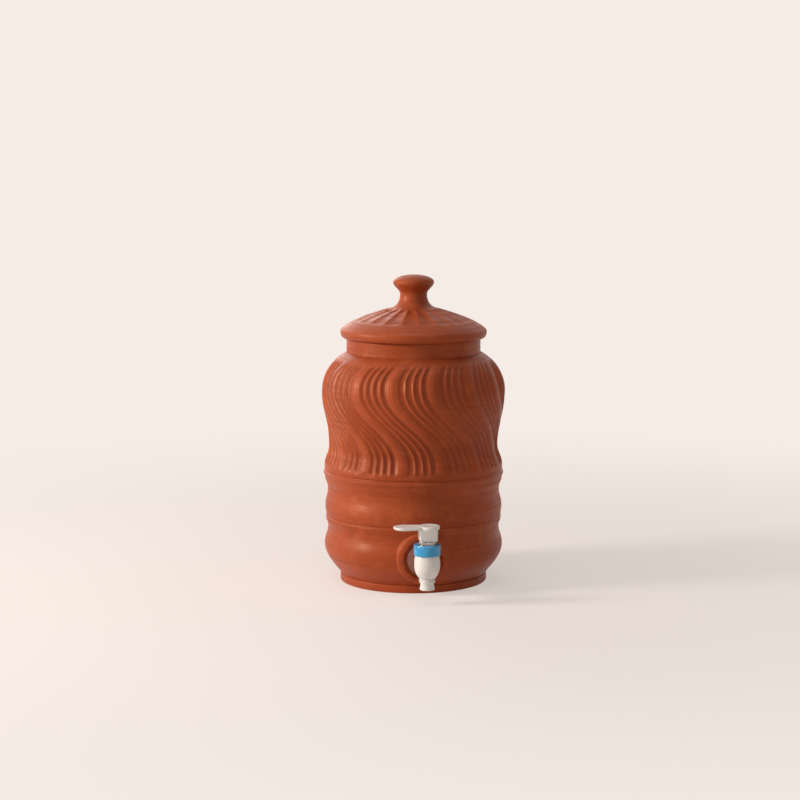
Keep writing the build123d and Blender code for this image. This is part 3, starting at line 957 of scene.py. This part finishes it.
    def build(self) -> None:
        """Turns the pot, carves its waves and models the tap's seat."""
        foot, lower, mouth, inside = self.underside, self.lower, self.mouth, self.inside
        piece = Workpiece()
        piece.turn(foot + lower, self.steps, tags=[Row.PLAIN] * len(foot) + [Row.FACE] * len(lower))
        band = piece.turn(self.upper, self.waves.columns, sectors=self.waves.bunches)
        self.waves.carve(piece, band)
        self.join(piece)
        tags = [Row.PLAIN] * len(mouth) + [Row.INSIDE] * len(inside)
        piece.turn(mouth + inside, self.inner_steps, tags=tags)
        self.join(piece)
        inner = self.inset(self.low_hollow)[0]
        self.seat.cut(piece, lambda height: self.radius_at(lower, height), inner)
        piece.hand_over("pot_wall", Body.POT, Slot.CLAY, "pot_body", CLAY_CREASE)


@dataclass
class Lid:
    """The fired lid: knob, dome with scooped petals, rolled brim, and a skirt inside the mouth."""

    top: Point = (0.0, 335.0)
    knob_crown: Point = (22.3, 327.0)
    knob_waist: Point = (14.7, 314.0)
    knob_base: Point = (23.0, 299.5)
    dome_edge: Point = (78.5, 276.5)
    under: Corners = (
        (77.0, 267.2, 0), (75.5, 267.2, 0.3), (75.5, RIM, 0.3), (64.9, RIM, 0.6), (64.9, SKIRT_FOOT, 0.8),
        (59.9, SKIRT_FOOT, 0.8), (59.9, 276.5, 0))
    vault: Point = (0.0, 291.5)
    crown_curve: Shares = ((0.0, 0.6), (0.45, 1.0))
    throat_curve: Shares = ((0.0, 0.4), (1.0, 0.6))
    flare_curve: Shares = ((0.75, 0.2), (1.0, 0.6))
    dome_curve: Shares = ((0.35, 0.22), (0.78, 0.55))
    brim_curve: Shares = ((-1.2, 0.2), (-1.0, 0.8))
    vault_curve: Shares = ((0.15, 0.55), (0.5, 1.0))
    petals: int = 20
    petal_depth: float = 1.35
    petal_start: float = 23.6
    petal_end: float = 66.0
    petal_run_in: float = 6.0
    petal_run_out: float = 5.5
    petal_roundness: float = 0.95
    petal_slant: float = 0.2
    # How much painted shade the petals take, and how strongly the ridges between them take a painted
    # highlight.
    petal_shade: float = 0.5
    ridge_highlight: float = 0.35
    ridge_sharpness: float = 3.0
    steps: int = 480

    @property
    def knob(self) -> list[Point]:
        """The knob's outline, from the middle of its crown down to the dome."""
        line = bowed(self.knob_crown, self.top, self.crown_curve, 12)[::-1]
        line += bowed(self.knob_waist, self.knob_crown, self.throat_curve, 12)[-2::-1]
        return line + bowed(self.knob_base, self.knob_waist, self.flare_curve, 12)[-2::-1]

    @property
    def underside(self) -> list[Point]:
        """The brim, its lip, the seat on the rim, the skirt and the vault, in to the axis."""
        line = bowed(self.dome_edge, self.under[0][:2], self.brim_curve, 11)[1:] + softened(self.under)[1:]
        return line + bowed(line[-1], self.vault, self.vault_curve, 12)[1:]

    def scoop(self, piece: Workpiece, vert: Vert) -> None:
        """Lowers one vertex of the dome into its petal.

        Args:
            piece: The lid's mesh.
            vert: The vertex.
        """
        radius = math.hypot(vert.co.x, vert.co.y)
        across = math.pi * (math.atan2(vert.co.y, vert.co.x) / math.tau * self.petals % 1.0)
        ends = smooth((radius - self.petal_start) / self.petal_run_in)
        ends *= smooth((self.petal_end - radius) / self.petal_run_out)
        leaf = math.sin(across) ** self.petal_roundness
        leaf *= 1 - self.petal_slant + self.petal_slant * math.cos(across)
        depth = self.petal_depth * ends * leaf
        ridge = ends * (1 - min(1.0, leaf * self.ridge_sharpness))
        vert.co.z -= depth
        # Painted shade in the petals, and a painted highlight on the ridges between them.
        vert[piece.hollow] = self.petal_shade * depth - self.ridge_highlight * ridge

    def build(self) -> None:
        """Turns the lid and scoops its petals."""
        knob, under = self.knob, self.underside
        dome = bowed(self.knob_base, self.dome_edge, self.dome_curve, 48)[1:]
        tags = [Row.PLAIN] * len(knob) + [Row.FACE] * len(dome) + [Row.PLAIN] * len(under)
        piece = Workpiece()
        piece.turn(knob + dome + under, self.steps, tags=tags)
        for vert in piece.bm.verts:
            if vert[piece.tag] == Row.FACE:
                self.scoop(piece, vert)
        piece.hand_over("lid_clay", Body.LID, Slot.CLAY, "lid", CLAY_CREASE)


@dataclass
class Tap:
    """The moulded tap: spout, ribs, bulb, neck, wall flange and shank.

    A corner is a radius, a height and a rounding. The shank's heights are measured out from the pot's axis,
    and its thread is drawn from points along one pitch.
    """

    spout: Corners = (
        (4.5, 16.5, 0), (7.8, 16.5, 0.5), (7.8, 18.1, 0.5), (7.15, 20.8, 0.8), (7.15, 24.3, 0.3),
        (8.4, 24.3, 0.5), (8.4, 25.9, 0.5), (7.15, 25.9, 0.25), (7.15, 26.7, 0.25), (8.4, 26.7, 0.5),
        (8.4, 28.3, 0.5), (7.15, 28.3, 0.25), (7.15, 29.1, 0.25), (8.6, 29.1, 0))
    bulb: Point = (13.6, 42.0)
    bulb_curve: Shares = ((0.42, 0.16), (1.0, 0.58))
    bulb_top: Point = (12.1, 53.2)
    brow_curve: Shares = ((0.0, 0.5), (0.5, 0.8))
    well: Line = (
        (11.7, 53.2), (11.7, 58.5), (9.9, 58.5), (9.9, 51.0), (7.6, 51.0), (7.6, 31.5), (5.7, 31.5),
        (5.7, 32.5), (4.5, 32.5))
    shank_end: Line = ((4.5, 68.1), (6.6, 68.1))
    thread: Line = ((6.8, 0.0), (7.45, 0.75), (7.45, 1.05), (6.8, 1.8))
    thread_start: float = 68.6
    thread_pitch: float = 1.9
    thread_turns: int = 15
    flange: Corners = (
        (7.4, 98.5, 0), (9.8, 98.5, 0.4), (9.8, 101.5, 0.7), (8.4, 101.5, 0.7), (8.4, 125.2, 0),
        (4.5, 125.2, 0))

    @property
    def upright(self) -> list[Point]:
        """The closed outline of spout, ribs, bulb and neck, with the well and bore inside."""
        line = softened(self.spout)
        line += bowed(line[-1], self.bulb, self.bulb_curve, 16)[1:]
        return line + bowed(self.bulb, self.bulb_top, self.brow_curve, 12)[1:] + list(self.well)

    @property
    def shank(self) -> list[Point]:
        """The closed outline of the bored shank with its thread, the flange and the bulb's arm."""
        line = list(self.shank_end)
        for turn in range(self.thread_turns):
            low = self.thread_start + turn * self.thread_pitch
            line += [(radius, low + way) for radius, way in self.thread]
        return line + softened(self.flange)

    def build(self) -> None:
        """Models the tap's moulding."""
        body = Workpiece()
        body.turn_at(self.upright, at_tap())
        body.turn_at(self.shank, along_shank())
        body.hand_over("tap_moulding", Body.POT, Slot.WHITE, "tap_body")


@dataclass(frozen=True)
class TapRing:
    """A ring on the tap, turned from an outline with rounded corners."""

    name: str
    slot: Slot
    node: str
    place: Matrix
    corners: Corners

    def build(self) -> None:
        """Turns the ring."""
        ring = Workpiece()
        ring.turn_at(softened(self.corners), self.place)
        ring.hand_over(self.name, Body.POT, self.slot, self.node)


WALL_WASHER = TapRing("wall_washer", Slot.WASHER, "outer_gasket", along_shank(), (
    (7.55, 95.5, 0.3), (17.2, 95.5, 0.5), (17.2, 98.5, 0.8), (7.55, 98.5, 0.3)))
COLLAR = TapRing("collar", Slot.BLUE, "collar_nut", at_tap(), (
    (11.85, 53.25, 0.3), (13.7, 53.25, 0.3), (14.1, 54.0, 0.4), (14.1, 64.3, 0.9), (9.45, 64.3, 0.3),
    (9.45, 61.8, 0), (11.85, 61.8, 0)))


@dataclass
class SteelSleeve:
    """The steel sleeve over the bonnet's neck, slotted at its foot and turned in at its top."""

    radius: float = 9.3
    foot: float = 61.8
    slot_top: float = 65.7
    rows: Line = ((9.3, 67.5), (9.15, 67.95), (8.7, 68.25), (3.4, 68.25))
    thickness: float = 0.55
    slot_pitch: float = 30.0
    slot_half: float = 4.0
    segments: int = 180

    def in_slot(self, place: Vector) -> bool:
        """Whether a place on the foot lies in one of its slots."""
        turn = math.degrees(math.atan2(place.y, place.x)) % self.slot_pitch
        return min(turn, self.slot_pitch - turn) < self.slot_half

    def on_ring(self, place: Vector, radius: float, height: float) -> Vector:
        """A place moved to a radius and height, at its own angle."""
        turn = math.atan2(place.y, place.x)
        return Vector((radius * math.cos(turn), radius * math.sin(turn), height))

    def build(self) -> None:
        """Draws the sleeve up from a ring, cuts its slots and gives it a thickness."""
        cup = Workpiece()
        bm = cup.bm
        ring = bmesh.ops.create_circle(bm, cap_ends=False, segments=self.segments, radius=self.radius)
        for vert in ring["verts"]:
            vert.co.z = self.foot
        loop = cup.grow(bm.edges[:], lambda place: Vector((place.x, place.y, self.slot_top)))
        slots = [face for face in bm.faces if self.in_slot(face.calc_center_median())]
        for radius, height in self.rows:
            loop = cup.grow(loop, lambda place, r=radius, h=height: self.on_ring(place, r, h))
        bmesh.ops.delete(bm, geom=slots, context="FACES")
        bmesh.ops.recalc_face_normals(bm, faces=bm.faces[:])
        bmesh.ops.solidify(bm, geom=bm.faces[:], thickness=self.thickness)
        cup.place(bm.verts[:], at_tap())
        cup.hand_over("steel_sleeve", Body.POT, Slot.STEEL, "bonnet_sleeve", STEEL_CREASE)


@dataclass
class ReturnSpring:
    """The coil between the stem's flange and the bonnet, made at its length at rest, though the real one
    shortens as the valve lifts.
    """

    radius: float = 4.9
    wire: float = 0.45
    wire_sides: int = 14
    turns: int = 5
    turn_steps: int = 32
    lift: float = 2.456

    def build(self) -> None:
        """Coils the spring up from the stem's flange, to the height of its solid."""
        low, high = (corner[2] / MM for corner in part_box("return_spring"))
        steps = self.turns * self.turn_steps
        climb = (high - low - 2 * self.wire) / steps
        coil = Workpiece()
        bm = coil.bm
        ring = bmesh.ops.create_circle(bm, cap_ends=False, segments=self.wire_sides, radius=self.wire)
        start = Matrix.Translation((self.radius, 0.0, low + self.wire))
        coil.place(ring["verts"], start @ Matrix.Rotation(math.pi / 2, 4, "X"))
        bmesh.ops.spin(bm, geom=bm.verts[:] + bm.edges[:], cent=(0, 0, 0), axis=(0, 0, 1),
                       dvec=(0, 0, climb), angle=math.tau * self.turns, steps=steps, use_merge=False,
                       use_duplicate=False)
        bmesh.ops.holes_fill(bm, edges=[edge for edge in bm.edges if edge.is_boundary], sides=0)
        coil.place(bm.verts[:], at_tap())
        piece = coil.hand_over("return_coil", Body.POT, Slot.STEEL, "return_spring")
        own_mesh(piece)


@dataclass
class Lever:
    """The lever: a cam block on its pin, a dished paddle, and a round head with a snap-in cap.

    Lengths along it start at the stem's axis. Corners are a radius, a height and a rounding.
    """

    cam: float = 68.25
    top: float = 80.45
    heel: float = 9.2
    back: float = 10.5
    taper: float = 0.5
    half_width: float = 9.0
    overlap: float = 0.4
    block_round: float = 1.9
    slot: Point = (5.8, 3.3)
    slot_roof: float = 79.05
    paddle_tip: float = 10.5
    paddle_root: float = 7.8
    paddle_reach: float = 35.2
    paddle_thickness: float = 3.3
    belly_round: float = 2.1
    crown_round: float = 0.8
    dish_centre: float = -18.5
    dish_half: Point = (15.2, 8.6)
    dish_depth: float = 0.65
    dish_grid: float = 1.6
    head_offset: float = 1.9
    head: Corners = (
        (0.0, 82.75, 0), (9.05, 82.75, 0), (9.05, 84.15, 0.25), (11.3, 84.15, 1.0), (11.3, 80.45, 1.2),
        (0.0, 80.45, 0))
    cap: Corners = ((0.0, 82.75, 0), (9.0, 82.75, 0), (9.0, 84.15, 0.3), (7.8, 84.15, 0))
    cap_middle: Point = (0.0, 83.7)
    cap_curve: Shares = ((0.3, 0.1), (0.6, 1.0))

    def block(self, piece: Workpiece) -> None:
        """Models the tapered cam block, rounded all round, with a slot for the stem in its foot.

        Args:
            piece: The lever's mesh.
        """
        bm = piece.bm
        for vert in bmesh.ops.create_cube(bm, size=2.0)["verts"]:
            low = vert.co.z < 0
            inset = self.taper if low else 0.0
            x = -self.heel + inset if vert.co.x < 0 else self.back - inset
            vert.co = Vector((x, vert.co.y * self.half_width, self.cam if low else self.top + self.overlap))
        edges = [edge for edge in bm.edges if min(vert.co.z for vert in edge.verts) < self.top]
        piece.bevel(edges, self.block_round)
        self.pierce(piece, min(bm.faces, key=lambda face: face.calc_center_median().z))

    def pierce(self, piece: Workpiece, face: bmesh.types.BMFace) -> None:
        """Opens the foot with a slot that runs up into the block.

        Args:
            piece: The lever's mesh.
            face: The foot's face.
        """
        bm = piece.bm
        outline = face.edges[:]
        bmesh.ops.delete(bm, geom=[face], context="FACES_ONLY")
        length, width = self.slot
        corners = ((-length, -width), (length, -width), (length, width), (-length, width))
        verts = [bm.verts.new((x, y, self.cam)) for x, y in corners]
        slot = [bm.edges.new((verts[step - 1], verts[step])) for step in range(len(verts))]
        bmesh.ops.subdivide_edges(bm, edges=slot, cuts=3)
        slot = [edge for edge in bm.edges if edge.is_wire]
        bmesh.ops.bridge_loops(bm, edges=outline + slot)
        roof = piece.grow(slot, lambda place: Vector((place.x, place.y, self.slot_roof)))
        bmesh.ops.contextual_create(bm, geom=roof)

    def paddle(self, piece: Workpiece) -> None:
        """Models the paddle: a blade that widens to its tip, rounded more below than above.

        Args:
            piece: The lever's mesh.
        """
        bm = piece.bm
        tip_x = self.paddle_tip - self.paddle_reach
        ring = bmesh.ops.create_circle(bm, cap_ends=True, segments=TAP_STEPS, radius=1.0)["verts"]
        for vert in ring:
            way = vert.co.normalized()
            at_tip = way.x * tip_x + self.paddle_tip > self.paddle_root
            centre, radius = (tip_x, self.paddle_tip) if at_tip else (0.0, self.paddle_root)
            vert.co = Vector((centre + way.x * radius, way.y * radius, self.top))
        made = bmesh.ops.extrude_face_region(bm, geom=[ring[0].link_faces[0]])["geom"]
        upper = [item for item in made if isinstance(item, Vert)]
        bmesh.ops.translate(bm, verts=upper, vec=(0.0, 0.0, self.paddle_thickness))
        crown = self.top + self.paddle_thickness
        for level, width in ((self.top, self.belly_round), (crown, self.crown_round)):
            rim = [edge for edge in bm.edges if all(abs(vert.co.z - level) < NEAR for vert in edge.verts)]
            piece.bevel(rim, width)
        self.dish(piece, crown - SKIN)

    def dish(self, piece: Workpiece, crown: float) -> None:
        """Cuts the paddle's top into a grid and dishes it for a finger.

        Args:
            piece: The lever's mesh.
            crown: A height just under the top.
        """
        bm = piece.bm
        spans = (((1.0, 0.0, 0.0), self.paddle_reach, self.paddle_root),
                 ((0.0, 1.0, 0.0), self.paddle_tip, self.paddle_tip))
        for way, back, ahead in spans:
            for step in range(-int(back / self.dish_grid), int(ahead / self.dish_grid) + 1):
                faces = [face for face in bm.faces if face.calc_center_median().z > crown]
                edges = dict.fromkeys(edge for face in faces for edge in face.edges)
                verts = dict.fromkeys(vert for face in faces for vert in face.verts)
                bmesh.ops.bisect_plane(bm, geom=[*faces, *edges, *verts], dist=NEAR, plane_no=way,
                                       plane_co=Vector(way) * (step * self.dish_grid))
        half_length, half_width = self.dish_half
        for vert in bm.verts:
            if vert.co.z > crown:
                spread = math.hypot((vert.co.x - self.dish_centre) / half_length, vert.co.y / half_width)
                vert.co.z -= self.dish_depth * smooth(1.0 - spread)

    def build(self) -> None:
        """Models the lever and its cap."""
        piece = Workpiece()
        self.block(piece)
        self.paddle(piece)
        head = piece.turn(softened(self.head), TAP_STEPS)
        piece.place(head, Matrix.Translation((self.head_offset, 0.0, 0.0)))
        piece.place(piece.bm.verts[:], at_tap())
        piece.hand_over("lever_moulding", Body.LEVER, Slot.WHITE, "lever")
        disc = Workpiece()
        line = softened(self.cap)
        line += bowed(line[-1], self.cap_middle, self.cap_curve, 8)[1:]
        disc.place(disc.turn(line, TAP_STEPS), at_tap(self.head_offset))
        disc.hand_over("lever_disc", Body.LEVER, Slot.WHITE, "lever_cap")


@dataclass(frozen=True)
class Lamp:
    """A soft square lamp that faces the pot: its place and side in metres, and its power in watts."""

    name: str
    place: Triple
    side: float
    power: float
    colour: Colour = srgb(255, 250, 246)
    aim: Triple = (0.0, 0.0, 0.16)

    def hang(self) -> None:
        """Hangs the lamp in the scene."""
        data = bpy.data.lights.new(self.name, "AREA")
        data.shape = "SQUARE"
        data.size = self.side
        data.energy = self.power
        data.color = self.colour[:3]
        lamp = bpy.data.objects.new(self.name, data)
        lamp.location = self.place
        lamp.rotation_euler = (Vector(self.aim) - Vector(self.place)).to_track_quat("-Z", "Y").to_euler()
        bpy.context.scene.collection.objects.link(lamp)


@dataclass
class Studio:
    """The pale floor, the soft lights and the camera."""

    azimuth: float = -5.8
    elevation: float = 7.6
    distance: float = 2.3
    sensor: float = 36.0
    lens: float = 94.8
    aim: Triple = (-0.0148, 0.0, 0.198)
    pale: Colour = srgb(246, 236, 230)
    surround: Colour = srgb(255, 250, 244)
    surround_strength: float = 0.14
    floor_radius: float = 14.0
    fade_start: float = 0.12
    fade_end: float = 1.2
    least_glow: float = 0.55
    lamps: tuple[Lamp, ...] = (
        Lamp("key", (-1.82, -0.3, 0.85), 0.45, 36.0, srgb(255, 248, 241)),
        Lamp("top", (-0.3, -0.3, 1.9), 1.2, 7.5),
        Lamp("fill", (0.2, -1.9, 0.7), 0.9, 3.2),
        Lamp("back", (-0.5, 1.9, 1.0), 1.2, 9.0),
    )

    def camera(self) -> None:
        """Sets the camera where the photograph was taken from."""
        turn, rise = math.radians(self.azimuth), math.radians(self.elevation)
        back = Vector((math.sin(turn) * math.cos(rise), -math.cos(turn) * math.cos(rise), math.sin(rise)))
        data = bpy.data.cameras.new("camera")
        data.sensor_width = self.sensor
        data.lens = self.lens
        eye = bpy.data.objects.new("camera", data)
        eye.location = Vector(self.aim) + back * self.distance
        eye.rotation_euler = (-back).to_track_quat("-Z", "Y").to_euler()
        bpy.context.scene.collection.objects.link(eye)
        bpy.context.scene.camera = eye

    def world(self) -> None:
        """Gives a dim even surround that the camera sees as the pale backdrop."""
        world = bpy.data.worlds.new("surround")
        board = Board(world)
        dim = board.tree.nodes["Background"]
        board.fill(dim, {"Color": self.surround, "Strength": self.surround_strength})
        seen = board.add("Background", {"Color": self.pale})
        board.show("World Output", board.beheld(), dim.outputs["Background"], seen.outputs["Background"])
        bpy.context.scene.world = world

    def paper(self) -> bpy.types.Material:
        """Makes the floor's finish, which fades into the backdrop away from the pot.

        Returns:
            The material.
        """
        material = bpy.data.materials.new("floor_paper")
        board = Board(material)
        board.dress({"Base Color": self.pale, "Roughness": 0.8, "Specular IOR Level": 0.1})
        far = board.add("VectorMath", {0: board.coords}, operation="LENGTH").outputs["Value"]
        fade = board.ranged(far, self.fade_start, self.fade_end, self.least_glow)
        lit = board.tree.nodes["Principled BSDF"].outputs["BSDF"]
        glow = board.add("Emission", {"Color": self.pale}).outputs["Emission"]
        board.show("Material Output", board.math("MULTIPLY", fade, board.beheld()), lit, glow)
        return material

    def floor(self) -> None:
        """Lays a wide pale floor."""
        bm = bmesh.new()
        bmesh.ops.create_circle(bm, cap_ends=True, segments=64, radius=self.floor_radius)
        mesh = bpy.data.meshes.new("floor")
        bm.to_mesh(mesh)
        bm.free()
        mesh.materials.append(self.paper())
        floor = bpy.data.objects.new("floor", mesh)
        bpy.context.scene.collection.objects.link(floor)

    def build(self) -> None:
        """Sets up the floor, surround, lamps and camera."""
        bpy.context.scene.view_settings.view_transform = "Standard"
        self.floor()
        self.world()
        for lamp in self.lamps:
            lamp.hang()
        self.camera()


def dress_nodes(frame: dict) -> None:
    """Gives the CAD pieces that stay as they are their materials.

    Args:
        frame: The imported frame.
    """
    kept = {
        Slot.WHITE: ("bonnet", "stem", "lock_nut"),
        Slot.STEEL: ("hinge_pin",),
        Slot.WASHER: ("inner_gasket", "bonnet_gasket", "stem_o_ring"),
        Slot.SEAL: ("valve_seal",),
    }
    for slot, names in kept.items():
        for name in names:
            for holder in frame["nodes"][name].material_slots:
                holder.material = FINISHES[slot].material
            LOG.info("%s keeps its solid", name)


def plain(corners: tuple[Vector, Vector]) -> list[list[float]]:
    """A box's two corners as plain lists."""
    return [[float(value) for value in corner] for corner in corners]


def main() -> None:
    """Loads the frame, builds every piece and the studio."""
    logging.basicConfig(level=logging.INFO, format="%(name)s %(message)s")
    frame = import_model()
    for piece in (Pot(), Lid(), Tap(), WALL_WASHER, COLLAR, SteelSleeve(), ReturnSpring(), Lever()):
        piece.build()
    dress_nodes(frame)
    Studio().build()


if __name__ == "__main__":
    main()
